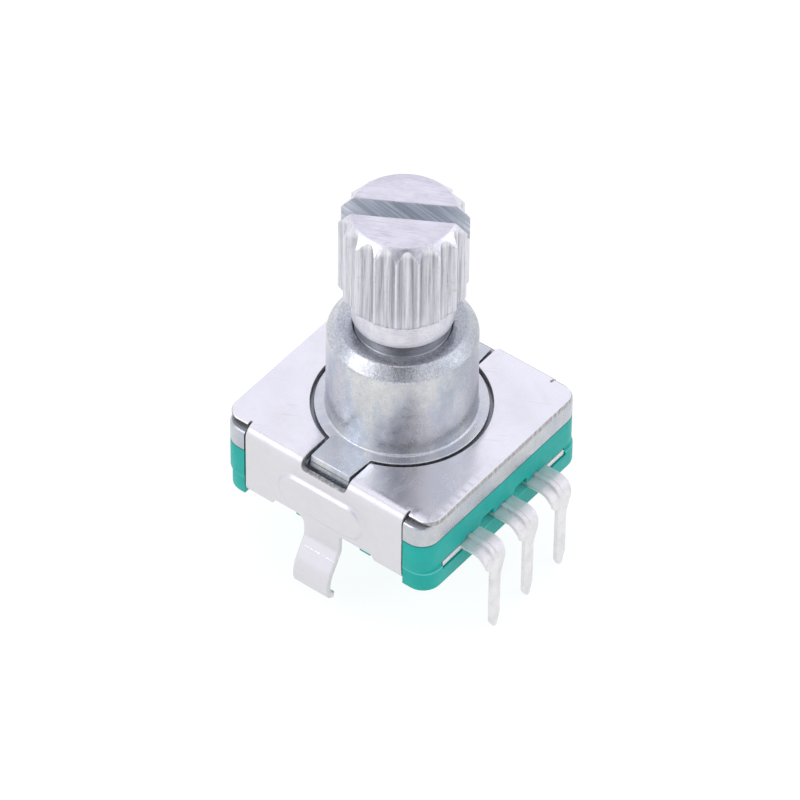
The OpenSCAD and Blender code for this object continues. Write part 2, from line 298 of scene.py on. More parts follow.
def inside(points, loops):
    """Whether each point lies inside the material that the loops bound."""
    odd = np.zeros(len(points), bool)
    x, y = points[:, 0][:, None], points[:, 1][:, None]
    for pts in loops:
        a, b = pts, np.roll(pts, -1, axis=0)
        ax, ay, bx, by = a[:, 0], a[:, 1], b[:, 0], b[:, 1]
        for s in range(0, len(points), 4000):
            xs, ys = x[s:s + 4000], y[s:s + 4000]
            cross = (ay[None] > ys) != (by[None] > ys)
            with np.errstate(divide="ignore", invalid="ignore"):
                at = (bx - ax)[None] * (ys - ay[None]) / (by - ay)[None] + ax[None]
            odd[s:s + 4000] ^= (np.sum(cross & (xs < at), axis=1) % 2).astype(bool)
    return odd


def sheet(name, loops, thickness, edge, interior, fold, rings=3):
    """A sheet bounded by loops, its edges rounded, each point placed by fold(x, y, height)."""
    inset = [p - n * edge for p, n in loops]
    gap = 0.6 * EDGE_STEP
    keep = inside(interior, inset)
    rim = np.concatenate(inset)
    for s in range(0, len(interior), 2000):
        part = interior[s:s + 2000]
        near = np.min(((part[:, None] - rim[None]) ** 2).sum(2), axis=1)
        keep[s:s + 2000] &= near > gap * gap
    inner = interior[keep]
    flat = np.concatenate([rim, inner])
    edges, start = [], 0
    for pts in inset:
        n = len(pts)
        edges += [(start + i, start + (i + 1) % n) for i in range(n)]
        start += n
    cdt = delaunay_2d_cdt([Vector(p) for p in flat], edges, [], 1, 1e-6)
    origin = [o[0] if o else -1 for o in cdt[3]]
    tris = np.array([[origin[v] for v in f] for f in cdt[2]])
    tris = tris[(tris >= 0).all(1)]
    if len(inset) > 1:
        tris = tris[~inside(flat[tris].mean(1), inset[1:])]

    verts, groups, faces = [], [], []
    total = len(flat)
    for level in (0, thickness):
        verts += [(x, y, level) for x, y in flat]
    faces += [tuple(t) for t in tris] + [tuple(t[::-1] + total) for t in tris]
    groups += [0] * (2 * len(tris))
    start = 0
    for pts, normals in loops:
        n = len(pts)
        rows = [[start + i for i in range(n)]]
        for k in range(2 * rings + 2):
            low = k <= rings
            a = math.pi / 2 * ((1 - k / rings) if low else ((k - rings - 1) / rings))
            if (low and k == 0) or (not low and k == 2 * rings + 1):
                continue
            depth = edge * (1 - math.cos(a))
            height = edge * (1 - math.sin(a)) if low else thickness - edge * (1 - math.sin(a))
            rows.append(list(range(len(verts), len(verts) + n)))
            verts += [(p[0] - q[0] * depth, p[1] - q[1] * depth, height)
                      for p, q in zip(pts, normals)]
        rows.append([total + start + i for i in range(n)])
        for k, (low, high) in enumerate(zip(rows, rows[1:])):
            side = 1 if abs(k - len(rows) // 2 + 1) <= 2 else 0
            for i in range(n):
                j = (i + 1) % n
                faces.append((low[i], low[j], high[j], high[i]))
                groups.append(side)
        start += n
    verts = fold(np.array(verts, float))
    return solid(name, verts, faces, groups)


def no_fold(points):
    return points


def grid(x_stations, y_stations):
    xs, ys = np.meshgrid(x_stations, y_stations)
    return np.stack([xs.ravel(), ys.ravel()], 1)


def plate(name, corners, low, high, edge, step=0.3):
    """A block with the given plan and rounded edges all round."""
    pts = [c[:2] for c in corners]
    lo, hi = np.min(pts, 0), np.max(pts, 0)
    inner = grid(np.arange(lo[0], hi[0], 0.9), np.arange(lo[1], hi[1], 0.9)) + 0.05
    obj = sheet(name, [loop_of(corners, step)], high - low, edge, inner, no_fold, 4)
    obj.data.transform(Matrix.Translation((0, 0, low * MM)))
    return obj


def rounded_corners(w, d, r, shift=0.0):
    x, y = w / 2, d / 2
    return [(x, -y + shift, r), (x, y + shift, r), (-x, y + shift, r), (-x, -y + shift, r)]


# ---- Materials ----


class Look:
    """A material whose patterns are laid out in millimetres on the object."""

    def __init__(self, name, **sockets):
        self.mat = bpy.data.materials.new(name)
        self.mat.use_nodes = True
        self.tree = self.mat.node_tree
        self.shader = self.tree.nodes["Principled BSDF"]
        for key, value in sockets.items():
            self.shader.inputs[key.replace("_", " ")].default_value = value
        coords = self.tree.nodes.new("ShaderNodeTexCoord")
        self.place = self.mapped(coords.outputs["Object"], (1000, 1000, 1000))

    def node(self, kind, **values):
        made = self.tree.nodes.new("ShaderNode" + kind)
        for key, value in values.items():
            setattr(made, key, value)
        return made

    def link(self, source, target):
        self.tree.links.new(source, target)

    def mapped(self, source, scale, turn=(0, 0, 0), move=(0, 0, 0)):
        made = self.node("Mapping")
        made.inputs["Scale"].default_value = scale
        made.inputs["Rotation"].default_value = [math.radians(t) for t in turn]
        made.inputs["Location"].default_value = move
        self.link(source, made.inputs["Vector"])
        return made.outputs[0]

    def noise(self, scale=1.0, stretch=(1, 1, 1), turn=(0, 0, 0), detail=4, rough=0.55,
              move=(0, 0, 0), place=None):
        made = self.node("TexNoise")
        made.inputs["Scale"].default_value = scale
        made.inputs["Detail"].default_value = detail
        made.inputs["Roughness"].default_value = rough
        place = place or self.place
        place = self.mapped(place, (1, 1, 1), turn) if any(turn) else place
        self.link(self.mapped(place, stretch, move=move), made.inputs["Vector"])
        return made.outputs["Fac"]

    def cells(self, scale, stretch=(1, 1, 1)):
        made = self.node("TexVoronoi")
        made.inputs["Scale"].default_value = scale
        self.link(self.mapped(self.place, stretch), made.inputs["Vector"])
        return made.outputs["Color"]

    def ramp(self, source, *stops):
        made = self.node("ValToRGB")
        band = made.color_ramp
        while len(band.elements) < len(stops):
            band.elements.new(0.5)
        for element, (place, value) in zip(band.elements, stops):
            element.position = place
            element.color = (value,) * 3 + (1,) if isinstance(value, (int, float)) \
                else tuple(value) + (1,)
        self.link(source, made.inputs["Fac"])
        return made.outputs["Color"]

    def math(self, operation, a, b=0.0, clamp=False):
        made = self.node("Math", operation=operation, use_clamp=clamp)
        for value, socket in ((a, made.inputs[0]), (b, made.inputs[1])):
            if isinstance(value, (int, float)):
                socket.default_value = value
            else:
                self.link(value, socket)
        return made.outputs[0]

    def mix(self, fac, a, b, blend="MIX"):
        made = self.node("Mix", data_type="RGBA", blend_type=blend)
        for value, socket in ((fac, made.inputs[0]), (a, made.inputs[6]), (b, made.inputs[7])):
            if isinstance(value, (int, float)):
                socket.default_value = value
            elif isinstance(value, (tuple, list)):
                socket.default_value = tuple(value) + (1,)
            else:
                self.link(value, socket)
        return made.outputs[2]

    def axes(self, place=None):
        made = self.node("SeparateXYZ")
        self.link(place or self.place, made.inputs[0])
        return made.outputs

    def times(self, a, b):
        return self.math("MULTIPLY", a, b)

    def above(self, source, value):
        return self.math("GREATER_THAN", source, value)

    def below(self, source, value):
        return self.math("LESS_THAN", source, value)

    def near(self, source, value, half):
        """1 where the source lies within half of the value, 0 elsewhere."""
        return self.below(self.math("ABSOLUTE", self.math("SUBTRACT", source, value)), half)

    def tint(self, colour, mask, amount, tone):
        """Blends a colour towards a tone by a mask times an amount."""
        return self.mix(self.times(mask, amount), colour, tone)

    def blot(self, colour, pattern, low, high, amount, tone):
        """Blends a colour towards a tone as a pattern rises from low to high."""
        return self.mix(self.ramp(pattern, (low, 0.0), (high, amount)), colour, tone)

    def bump(self, height, distance, strength=1.0):
        made = self.node("Bump")
        made.inputs["Strength"].default_value = strength
        made.inputs["Distance"].default_value = distance * MM
        self.link(height, made.inputs["Height"])
        target = self.shader.inputs["Normal"]
        if target.is_linked:
            self.link(target.links[0].from_socket, made.inputs["Normal"])
        self.link(made.outputs[0], target)

    def scratches(self, turn, along, across, sharp=0.03, level=0.62, move=(0, 0, 0)):
        """Thin streaks, 0 to 1, that run along X turned by the given angles."""
        fac = self.noise(1.0, (along, across, across), turn, 2, 0.5, move)
        return self.ramp(fac, (level, 0.0), (level + sharp, 1.0))

    def set(self, **sockets):
        for key, source in sockets.items():
            self.link(source, self.shader.inputs[key.replace("_", " ")])
        return self.mat


def tinned_sheet():
    look = Look("tinned_sheet", Metallic=1.0)
    x, _, z = look.axes()
    large = look.noise(0.35, detail=3)
    colour = look.ramp(large, (0.3, (0.84, 0.835, 0.87)), (0.7, (0.91, 0.905, 0.94)))
    smear = look.noise(1.1, (1, 0.22, 1), (0, 0, 28), 5, 0.6)
    colour = look.blot(colour, smear, 0.48, 0.75, 0.30, (0.77, 0.76, 0.77))
    cloud = look.noise(0.8, detail=6, rough=0.7, move=(4, 1, 6))
    colour = look.blot(colour, cloud, 0.52, 0.74, 0.35, (0.74, 0.73, 0.70))
    # The sides are painted darker than the top as shade. The bending die also left them more satin
    # than the top, so they are rougher.
    side = look.above(look.math("ABSOLUTE", x), FLAP_SEAT)
    colour = look.tint(colour, side, 0.70, (0.635, 0.63, 0.645))
    nicks = look.scratches((0, 0, 62), 0.35, 7, 0.03, 0.69)
    fine = look.scratches((0, 0, -38), 0.25, 9, 0.03, 0.70, (3, 7, 1))
    colour = look.tint(colour, nicks, 0.22, (0.58, 0.57, 0.59))
    # A broken white line is painted across each leg as a highlight.
    painted_leg_highlight = look.near(z, LEG_HIGHLIGHT_Z, 0.022)
    broken_highlight = look.ramp(look.noise(7, detail=3, move=(1, 2, 3)), (0.47, 0.0), (0.53, 1.0))
    colour = look.tint(colour, painted_leg_highlight, broken_highlight, (1.0, 1.0, 1.0))
    lines = look.noise(1.0, (0.35, 26, 26), detail=2)
    shine = look.ramp(look.noise(2.2, (0.4, 1, 1), detail=4), (0.3, 0.20), (0.72, 0.31))
    rough = look.math("ADD", shine, look.times(side, 0.20))
    look.bump(lines, 0.0010)
    look.bump(look.noise(9, detail=3), 0.0022)
    look.bump(look.times(look.noise(13, detail=3), side), 0.0045)
    look.bump(look.noise(0.45, detail=2), 0.02)
    look.bump(look.math("ADD", nicks, fine), -0.0010)
    return look.set(Base_Color=colour, Roughness=rough)


def sheared_edge():
    look = Look("sheared_edge", Metallic=1.0)
    tear = look.noise(1.0, (6, 6, 1.6), detail=5, rough=0.7)
    colour = look.ramp(tear, (0.34, (0.30, 0.295, 0.285)), (0.52, (0.47, 0.465, 0.455)),
                       (0.70, (0.70, 0.695, 0.69)))
    # Down on the legs and claws the tin has run over the cut and brightened it.
    leg = look.below(look.axes()[2], FLAP_BOTTOM + 0.1)
    colour = look.tint(colour, leg, 0.72, (0.78, 0.775, 0.79))
    rough = look.ramp(tear, (0.3, 0.60), (0.7, 0.42))
    look.bump(tear, 0.016)
    return look.set(Base_Color=colour, Roughness=rough)


def zinc_die_cast():
    look = Look("zinc_die_cast", Metallic=1.0)
    x, y, z = look.axes()
    patch = look.noise(0.6, (1, 1, 0.45), detail=6, rough=0.66)
    colour = look.ramp(patch, (0.32, (0.46, 0.50, 0.55)), (0.46, (0.58, 0.62, 0.67)),
                       (0.58, (0.70, 0.70, 0.685)), (0.72, (0.56, 0.60, 0.64)))
    stain = look.noise(2.6, (1, 1, 0.8), detail=8, rough=0.76, move=(5, 2, 9))
    colour = look.blot(colour, stain, 0.46, 0.68, 0.36, (0.36, 0.41, 0.48))
    gloss = look.noise(1.6, (1, 1, 0.7), detail=5, rough=0.6, move=(8, 3, 1))
    colour = look.blot(colour, gloss, 0.55, 0.72, 0.45, (0.82, 0.82, 0.80))
    # Below the cover the casting is painted darker. A painted shadow line runs just under the
    # cover's edge, and the foot of the casting at the base joint is painted dark too.
    colour = look.tint(colour, look.below(z, cover_under + 0.02), 0.45, (0.46, 0.48, 0.51))
    painted_shadow_band = look.times(look.above(z, cover_under - 0.05), look.below(z, cover_under + 0.01))
    joint = look.below(z, flange_bottom + 0.035)
    colour = look.tint(colour, look.math("ADD", painted_shadow_band, joint, True), 0.75,
                       (0.13, 0.13, 0.14))
    # One side of the bush is painted darker, as painted shade.
    across = look.math("SUBTRACT", look.times(x, 0.075), look.times(y, 0.105))
    painted_side_shade = look.ramp(across, (0.20, 0.0), (0.42, 0.62))
    colour = look.tint(colour, painted_side_shade, look.above(z, cover_top + 0.1), (0.34, 0.36, 0.38))
    # The flat tops of the collar and the tabs are painted lighter, as a painted highlight.
    colour = look.tint(colour, look.near(z, cover_top, 0.012), 0.45, (0.78, 0.80, 0.83))
    fleck = look.noise(26, detail=2, move=(7, 7, 7))
    colour = look.blot(colour, fleck, 0.48, 0.64, 0.36, (0.30, 0.33, 0.38))
    rough = look.ramp(look.noise(1.6, detail=6, rough=0.7), (0.32, 0.20), (0.68, 0.40))
    # The rim, from just under its chamfer, is grainy. Ramps take heights as tenths.
    rim_low, rim_high = (bush_top - 0.70) * 0.1, (bush_top - 0.55) * 0.1
    rim = look.ramp(look.times(z, 0.1), (rim_low, 0.06), (rim_high, 1.0))
    grain = look.cells(17)
    speckle = look.ramp(grain, (0.25, 0.62), (0.75, 1.0))
    colour = look.mix(rim, colour, look.mix(1.0, colour, speckle, "MULTIPLY"))
    colour = look.tint(colour, rim, 0.30, (0.80, 0.84, 0.88))
    look.bump(look.times(grain, rim), 0.030)
    look.bump(look.noise(24, detail=3), 0.0055)
    look.bump(look.noise(2.5, (1, 1, 0.4), detail=4), 0.006)
    look.bump(look.noise(0.5, detail=2, move=(1, 4, 2)), 0.04)
    return look.set(Base_Color=colour, Roughness=rough)


def shaft_aluminium():
    look = Look("shaft_aluminium", Metallic=1.0)
    x, y, z = look.axes()
    turned = look.mapped(look.place, (1, 1, 1), (0, 0, -SLOT_ANGLE))
    near_slot = look.near(look.axes(turned)[1], 0.0, SLOT_HALF + 0.002)
    slot = look.times(near_slot, look.above(z, slot_z - 0.01))
    low = look.below(z, head_z - 0.02)
    streaks = look.noise(1.0, (8, 8, 0.22), detail=6, rough=0.7)
    fine = look.noise(1.0, (26, 26, 0.7), detail=3, rough=0.6, move=(4, 4, 0))
    body = look.ramp(streaks, (0.36, (0.36, 0.36, 0.38)), (0.47, (0.58, 0.58, 0.62)),
                     (0.56, (0.68, 0.68, 0.72)), (0.68, (0.80, 0.80, 0.84)))
    body = look.blot(body, fine, 0.55, 0.70, 0.40, (0.44, 0.44, 0.47))
    # The crests between the grooves are painted lighter than the grooves' floors, as painted light
    # and shade on the serrations.
    reach = look.math("SQRT", look.math("ADD", look.times(x, x), look.times(y, y)))
    body = look.blot(body, look.times(reach, 0.1), 0.278, 0.296, 0.48,
                     (0.90, 0.90, 0.94))
    face = look.ramp(look.noise(1.3, detail=5), (0.35, (0.71, 0.70, 0.75)),
                     (0.65, (0.82, 0.81, 0.86)))
    brushed = look.noise(1.0, (0.8, 12, 12), (0, 0, 64), 5, 0.7)
    face = look.blot(face, brushed, 0.50, 0.68, 0.5, (0.48, 0.48, 0.52))
    top = look.above(z, shaft_top - 0.02)
    plain = look.math("MAXIMUM", top, low)
    # The chamfer's ramp takes heights as twentieths.
    rise = look.ramp(look.times(z, 0.05), ((shaft_top - 0.56) * 0.05, 0.0),
                     ((shaft_top - 0.36) * 0.05, 1.0))
    chamfer = look.times(rise, look.math("SUBTRACT", 1.0, top))
    colour = look.mix(plain, body, face)
    colour = look.tint(colour, chamfer, 0.5, (0.88, 0.88, 0.91))
    # The serrations end on the neck, where a thin broken line is painted near white as a
    # highlight.
    broken_highlight = look.ramp(look.noise(1.2, detail=2, move=(3, 1, 2)), (0.44, 0.0), (0.52, 1.0))
    colour = look.tint(colour, look.near(z, head_z, 0.035), broken_highlight, (0.97, 0.97, 1.0))
    # Grease and shade darken the turned parts that sit down in the bush.
    colour = look.tint(colour, look.below(z, neck_z - 0.02), 0.65, (0.42, 0.42, 0.41))
    colour = look.tint(colour, look.below(z, undercut_z + 0.01), 0.8, (0.44, 0.48, 0.52))
    # Milling marks: arcs of the cutter, seen as slanting lines on the slot's walls.
    slant = look.mapped(turned, (1, 1, 1), (0, 40, 0))
    marks = look.noise(1.0, (0.30, 1, 9), detail=3, rough=0.5, place=slant)
    wall = look.ramp(marks, (0.38, (0.62, 0.66, 0.70)), (0.55, (0.80, 0.83, 0.87)),
                     (0.66, (0.95, 0.96, 0.98)))
    colour = look.mix(slot, colour, wall)
    dings = look.scratches((0, 0, 50), 1.6, 10, 0.03, 0.67)
    colour = look.tint(colour, dings, 0.4, (0.5, 0.5, 0.52))
    shine = look.ramp(fine, (0.3, 0.26), (0.7, 0.46))
    rough = look.math("ADD", shine, look.times(slot, 0.2))
    side = look.math("SUBTRACT", look.math("SUBTRACT", 1.0, plain), chamfer, True)
    look.bump(look.times(streaks, side), 0.026)
    look.bump(look.times(fine, side), 0.006)
    look.bump(look.times(marks, slot), 0.03)
    look.bump(look.noise(6, detail=4), 0.003)
    look.bump(dings, -0.006)
    return look.set(Base_Color=colour, Roughness=rough)


def green_moulding():
    look = Look("green_moulding", Metallic=0.0, Specular_IOR_Level=0.28,
                Subsurface_Weight=0.06, Subsurface_Scale=0.0006)
    look.shader.inputs["Subsurface Radius"].default_value = (0.3, 1.0, 0.8)
    z = look.axes()[2]
    large = look.noise(0.6, detail=4)
    colour = look.ramp(large, (0.3, (0.001, 0.350, 0.295)), (0.7, (0.004, 0.405, 0.345)))
    fibre = look.noise(1.0, (3, 14, 14), (0, 0, 20), 4, 0.7)
    colour = look.blot(colour, fibre, 0.5, 0.8, 0.25, (0.02, 0.46, 0.395))
    speck = look.noise(16, detail=2, move=(2, 2, 2))
    colour = look.blot(colour, speck, 0.62, 0.72, 0.2, (0.06, 0.50, 0.43))
    # Painted shadow darkens the moulding just under the casting, and a painted highlight lines the
    # parting ledge.
    colour = look.tint(colour, look.above(z, flange_bottom - 0.05), 0.6, (0.0, 0.14, 0.12))
    colour = look.tint(colour, look.near(z, parting_z + 0.005, 0.035), 0.6,
                       (0.16, 0.66, 0.58))
    rough = look.ramp(look.noise(3.0, detail=4), (0.3, 0.38), (0.7, 0.55))
    look.bump(fibre, 0.006)
    look.bump(look.noise(12, detail=4), 0.006)
    look.bump(look.noise(0.8, detail=2), 0.02)
    return look.set(Base_Color=colour, Roughness=rough)


def terminal_plate():
    look = Look("terminal_plate", Metallic=0.78)
    large = look.noise(1.1, detail=5, rough=0.65)
    colour = look.ramp(large, (0.3, (0.70, 0.695, 0.69)), (0.6, (0.82, 0.81, 0.81)),
                       (0.8, (0.75, 0.74, 0.75)))
    drag = look.noise(1.0, (14, 0.7, 0.7), detail=4, rough=0.6)
    rough = look.ramp(drag, (0.3, 0.44), (0.7, 0.60))
    mark = look.scratches((20, 0, 74), 1.0, 9, 0.03, 0.67)
    colour = look.tint(colour, mark, 0.35, (0.55, 0.55, 0.55))
    smut = look.noise(3.2, (2.5, 1, 1), detail=5, rough=0.7, move=(6, 2, 3))
    colour = look.blot(colour, smut, 0.56, 0.72, 0.3, (0.50, 0.47, 0.44))
    look.bump(drag, 0.006)
    look.bump(look.noise(7, detail=4), 0.006)
    look.bump(mark, -0.005)
    return look.set(Base_Color=colour, Roughness=rough)


def plain_metal(name, dark, light, rough_low, rough_high, stretch):
    look = Look(name, Metallic=1.0)
    colour = look.ramp(look.noise(0.9, detail=5, rough=0.65), (0.3, dark), (0.7, light))
    lines = look.noise(1.0, stretch, detail=4)
    look.bump(lines, 0.004)
    look.bump(look.noise(8, detail=3), 0.003)
    mark = look.scratches((0, 0, 33), 0.8, 10, 0.03, 0.66)
    colour = look.tint(colour, mark, 0.5, tuple(0.6 * c for c in dark))
    return look.set(Base_Color=colour, Roughness=look.ramp(lines, (0.3, rough_low),
                                                           (0.7, rough_high)))


def natural_plastic():
    look = Look("natural_plastic", Metallic=0.0, Subsurface_Weight=0.15,
                Subsurface_Scale=0.0008)
    large = look.noise(0.7, detail=4)
    colour = look.ramp(large, (0.3, (0.66, 0.62, 0.50)), (0.7, (0.78, 0.74, 0.63)))
    speck = look.noise(14, detail=2)
    colour = look.blot(colour, speck, 0.6, 0.75, 0.3, (0.55, 0.50, 0.40))
    look.bump(look.noise(10, detail=4), 0.006)
    look.bump(look.noise(1.0, (3, 12, 12), detail=3), 0.004)
    rough = look.ramp(look.noise(3, detail=3), (0.3, 0.35), (0.7, 0.55))
    return look.set(Base_Color=colour, Roughness=rough)


# ---- Shaft ----

SLOT_ANGLE = 121.0
SLOT_HALF = 0.515
SLOT_DEPTH = 1.8
GROOVES = 18
GROOVE_WIDTH = 0.95
GROOVE_ROUNDNESS = 2.3
HEAD_R = (shaft_hi[0] - shaft_lo[0]) / 2
ROOT_R = 2.55
NECK_R = 2.37
UNDERCUT_R = 2.0
JOURNAL_R = 2.25
RING_ROOT_R = 1.75
STEM_R = 1.9
STEM_FLAT = 1.45
PILOT_R = 0.9
TOP_R = 2.4
HEAD_CHAMFER = 0.6
head_z = shaft_top - 5.15
neck_z = head_z - 1.2
undercut_z = bush_top - 0.12
ring_z = rotor_top + 0.09
stem_z = rotor_lo[2] - 0.4
slot_z = shaft_top - SLOT_DEPTH


def groove_radius(turn):
    """Radius of the head's side at an angle, counted in grooves from the middle of one."""
    t = min(1.0, abs((turn + 0.5) % 1 - 0.5) * 2 / GROOVE_WIDTH)
    return ROOT_R + (HEAD_R - ROOT_R) * t ** GROOVE_ROUNDNESS


def build_shaft():
    per_groove = 30
    segments = GROOVES * per_groove
    lower = [(0, shaft_bottom), (PILOT_R - 0.08, shaft_bottom), (PILOT_R, shaft_bottom + 0.08),
             (PILOT_R, stem_z), (STEM_R, stem_z), (STEM_R, rotor_top), (JOURNAL_R, rotor_top),
             (JOURNAL_R, ring_z - 0.01), (RING_ROOT_R, ring_z - 0.01),
             (RING_ROOT_R, ring_z + 0.21), (JOURNAL_R, ring_z + 0.21),
             (JOURNAL_R, undercut_z - 0.05), (JOURNAL_R - 0.05, undercut_z),
             (UNDERCUT_R, undercut_z), (UNDERCUT_R, neck_z)]
    lower += rounded_path([(UNDERCUT_R, neck_z), (NECK_R, neck_z, 0.035), (NECK_R, head_z)])[1:-1]
    lower += [(NECK_R, neck_z + 0.3), (NECK_R, head_z - 0.03)]
    angles = [math.radians(SLOT_ANGLE) + 2 * math.pi * i / segments for i in range(segments)]
    columns = []
    slope = HEAD_CHAMFER / (HEAD_R - NECK_R)
    wall_rows = 26
    for i, angle in enumerate(angles):
        g = groove_radius(i / per_groove)
        crest = max(0.0, (g - ROOT_R) / (HEAD_R - ROOT_R) - 0.6) / 0.4
        rough = noise.noise(Vector((9 * math.cos(angle), 9 * math.sin(angle), 0.3)))
        z_low = head_z + (g - NECK_R) * slope
        z_high = shaft_top - HEAD_CHAMFER * (g - TOP_R) / (HEAD_R - TOP_R)
        column = [(NECK_R + (g - NECK_R) * t, head_z + (z_low - head_z) * t)
                  for t in (0.02, 0.5, 0.93)]
        for k in range(wall_rows + 1):
            t = k / wall_rows
            ease = 0.012 + 0.976 * t
            z = z_low + (z_high - z_low) * ease
            wobble = noise.noise(Vector((3 * math.cos(angle), 3 * math.sin(angle), 0.9 * z)))
            fine = noise.noise(Vector((22 * math.cos(angle), 22 * math.sin(angle), 2.2 * z)))
            r = g + crest * (0.006 * wobble + 0.007 * fine - 0.006)
            column.append((min(r, HEAD_R - 0.0005), z))
        nick = 0.012 * crest * rough
        column += [(g + (TOP_R - g) * t, z_high + (shaft_top - z_high) * t - nick * (1 - t))
                   for t in (0.03, 0.5, 0.92)]
        column += [(TOP_R - 0.03, shaft_top), (1.6, shaft_top), (0.8, shaft_top)]
        columns.append(column)
    rings = [[point] * segments for point in lower[1:]]
    rings += [[column[k] for column in columns] for k in range(len(columns[0]))]
    verts, rows = [(0, 0, shaft_bottom)], [[0]]
    for ring in rings:
        rows.append(list(range(len(verts), len(verts) + segments)))
        verts += [(r * math.cos(a), r * math.sin(a), z) for a, (r, z) in zip(angles, ring)]
    rows.append([len(verts)])
    verts.append((0, 0, shaft_top))
    shaft = solid("shaft_turned", verts, row_faces(rows, segments))
    lip = 0.03
    profile = [(-SLOT_HALF, slot_z + lip), (-SLOT_HALF + lip, slot_z),
               (SLOT_HALF - lip, slot_z), (SLOT_HALF, slot_z + lip),
               (SLOT_HALF, shaft_top - lip), (SLOT_HALF + 2 * lip, shaft_top + lip),
               (-SLOT_HALF - 2 * lip, shaft_top + lip), (-SLOT_HALF, shaft_top - lip)]
    cutter = spin(prism("slot_cutter", profile, -5, 5, "x"), SLOT_ANGLE)
    flats = [side_block("flat_cutter", s, STEM_FLAT, STEM_FLAT + 2, (-3, stem_z - 0.01),
                        (3, rotor_top + 0.001)) for s in (-1, 1)]
    combine(shaft, [cutter] + flats, "DIFFERENCE")
    finish_piece(shaft, "shaft", "rotor", [shaft_aluminium()], 36)


# ---- Bushing ----

BUSH_R = 3.5
COLLAR_R = 4.05
BORE_R = 2.3
CAVITY_R = 4.9
cover_under = cover_top - SHEET
ceiling_z = flange_bottom + 0.72
BODY_CORNER = 0.95
RIM_R = 2.98
TAB_END = 5.30
STAKE_R = 0.3
STAKE_X = 4.05
FOLD_RELIEF_R = 0.28


def flap_recess(name, low, high, relief):
    """Cutters for the sides that the cover's flaps lie on, with the fold's relief if asked."""
    outline = [(FLAP_SEAT, low), (FLAP_SEAT, high)]
    if relief:
        x, z, r = body_x - fold_r, cover_top - fold_r, FOLD_RELIEF_R
        turns = [math.radians(90 * k / 6) for k in range(7)]
        outline = [(FLAP_SEAT, low)]
        outline += [(x + r * math.cos(a), z + r * math.sin(a)) for a in turns] + [(x, high)]
    outline += [(body_x + PAST, high), (body_x + PAST, low)]
    return [prism(name, [(s * a, b) for a, b in outline], -flap_half, flap_half, "y")
            for s in (-1, 1)]


def build_bushing():
    corners = rounded_corners(2 * body_x, 2 * body_y, BODY_CORNER)
    inner = grid(np.arange(-5.3, 5.4, 0.9), np.arange(-5.3, 5.4, 0.9))
    flange = sheet("bushing_cast", [loop_of(corners, 0.3)], cover_under - flange_bottom,
                   0.24, inner, no_fold, 6)
    flange.data.transform(Matrix.Translation((0, 0, flange_bottom * MM)))
    # The lower edge meets the base squarely, so a straight band fills its rounding.
    band = plate("band", rounded_corners(2 * body_x, 2 * body_y, BODY_CORNER),
                 flange_bottom, flange_bottom + 0.5, 0.03)
    barrel = [(0, cover_under - 0.3), (COLLAR_R, cover_under - 0.3)]
    barrel += rounded_path([(COLLAR_R, cover_under), (COLLAR_R, cover_top, 0.05),
                            (BUSH_R + 0.02, cover_top, 0.13), (BUSH_R, bush_top - 0.6, 0.22),
                            (RIM_R, bush_top, 0.12), (BORE_R, bush_top - 0.05),
                            (0, bush_top - 0.05)])[1:]
    body = lathe("barrel", barrel, 160)
    tabs = []
    tab_floor = cover_under - 0.9
    for s in (-1, 1):
        wide = prism("tab", [(s * 3, -1.27), (s * 5.5, -1.12), (s * 5.5, 1.12),
                             (s * 3, 1.20)], tab_floor, cover_top)
        # The tab's end leans out downwards, over an undercut.
        side = [(2.9, tab_floor), (TAB_END - 0.11, tab_floor),
                (TAB_END - 0.11, cover_top - 0.66), (TAB_END + 0.12, cover_top - 0.60),
                (TAB_END, cover_top), (TAB_END, cover_top + 0.1), (2.9, cover_top + 0.1)]
        side = prism("tab_side", [(s * x, z) for x, z in side], -1.5, 1.5, "y")
        wide = combine(wide, [side], "INTERSECT")
        tabs.append(soften(wide, 0.05, 3, 30))
    combine(flange, [band], "UNION")
    combine(flange, flap_recess("recess", flange_bottom - PAST, cover_top + PAST, True),
            "DIFFERENCE")
    gaps = [side_block("tab_gap", s, 5.2, 6.5, (-1.22, cover_under - 0.5),
                       (1.2, cover_top + PAST)) for s in (-1, 1)]
    combine(flange, gaps, "DIFFERENCE")
    combine(flange, [body] + tabs, "UNION")
    below = flange_bottom - PAST
    cavity = lathe("cavity", [(0, below), (CAVITY_R, below), (CAVITY_R, ceiling_z),
                              (0, ceiling_z)], 128)
    bore = rounded_path([(0, below), (BORE_R, below),
                         (BORE_R, bush_top - 0.12, 0.04), (BORE_R + 0.09, bush_top + 0.02),
                         (0, bush_top + 0.02)])
    combine(flange, [cavity, lathe("bore", bore, 128)], "DIFFERENCE")
    stakes = []
    for s in (-1, 1):
        stake = lathe("stake", [(0, ceiling_z - 0.3), (STAKE_R - 0.05, ceiling_z - 0.3),
                                (STAKE_R, ceiling_z - 0.25), (STAKE_R, ceiling_z + 0.1),
                                (0, ceiling_z + 0.1)], 32)
        stake.data.transform(Matrix.Translation((s * STAKE_X * MM, 0, 0)))
        stakes.append(stake)
    combine(flange, stakes, "UNION")
    finish_piece(flange, "bushing", "housing", [zinc_die_cast()], 34)


# ---- Base ----

base_bottom = 0.2
parting_z = 1.25
PITCH = 2.5
STRIP_W = 1.5
FRAME_END = 4.65
LEAD_T = 0.2
LOWER_SHIFT = 0.10
cavity_floor = 1.28
PILOT_HOLE_R = 0.95
PILOT_FLOOR = 0.45
SEAT_PAD_W = 9.4
CLAW_POCKET_TOP = 0.97
REBATE_X = 5.15
REBATE_TOP = 0.6
TONGUE_BOTTOM = 0.38


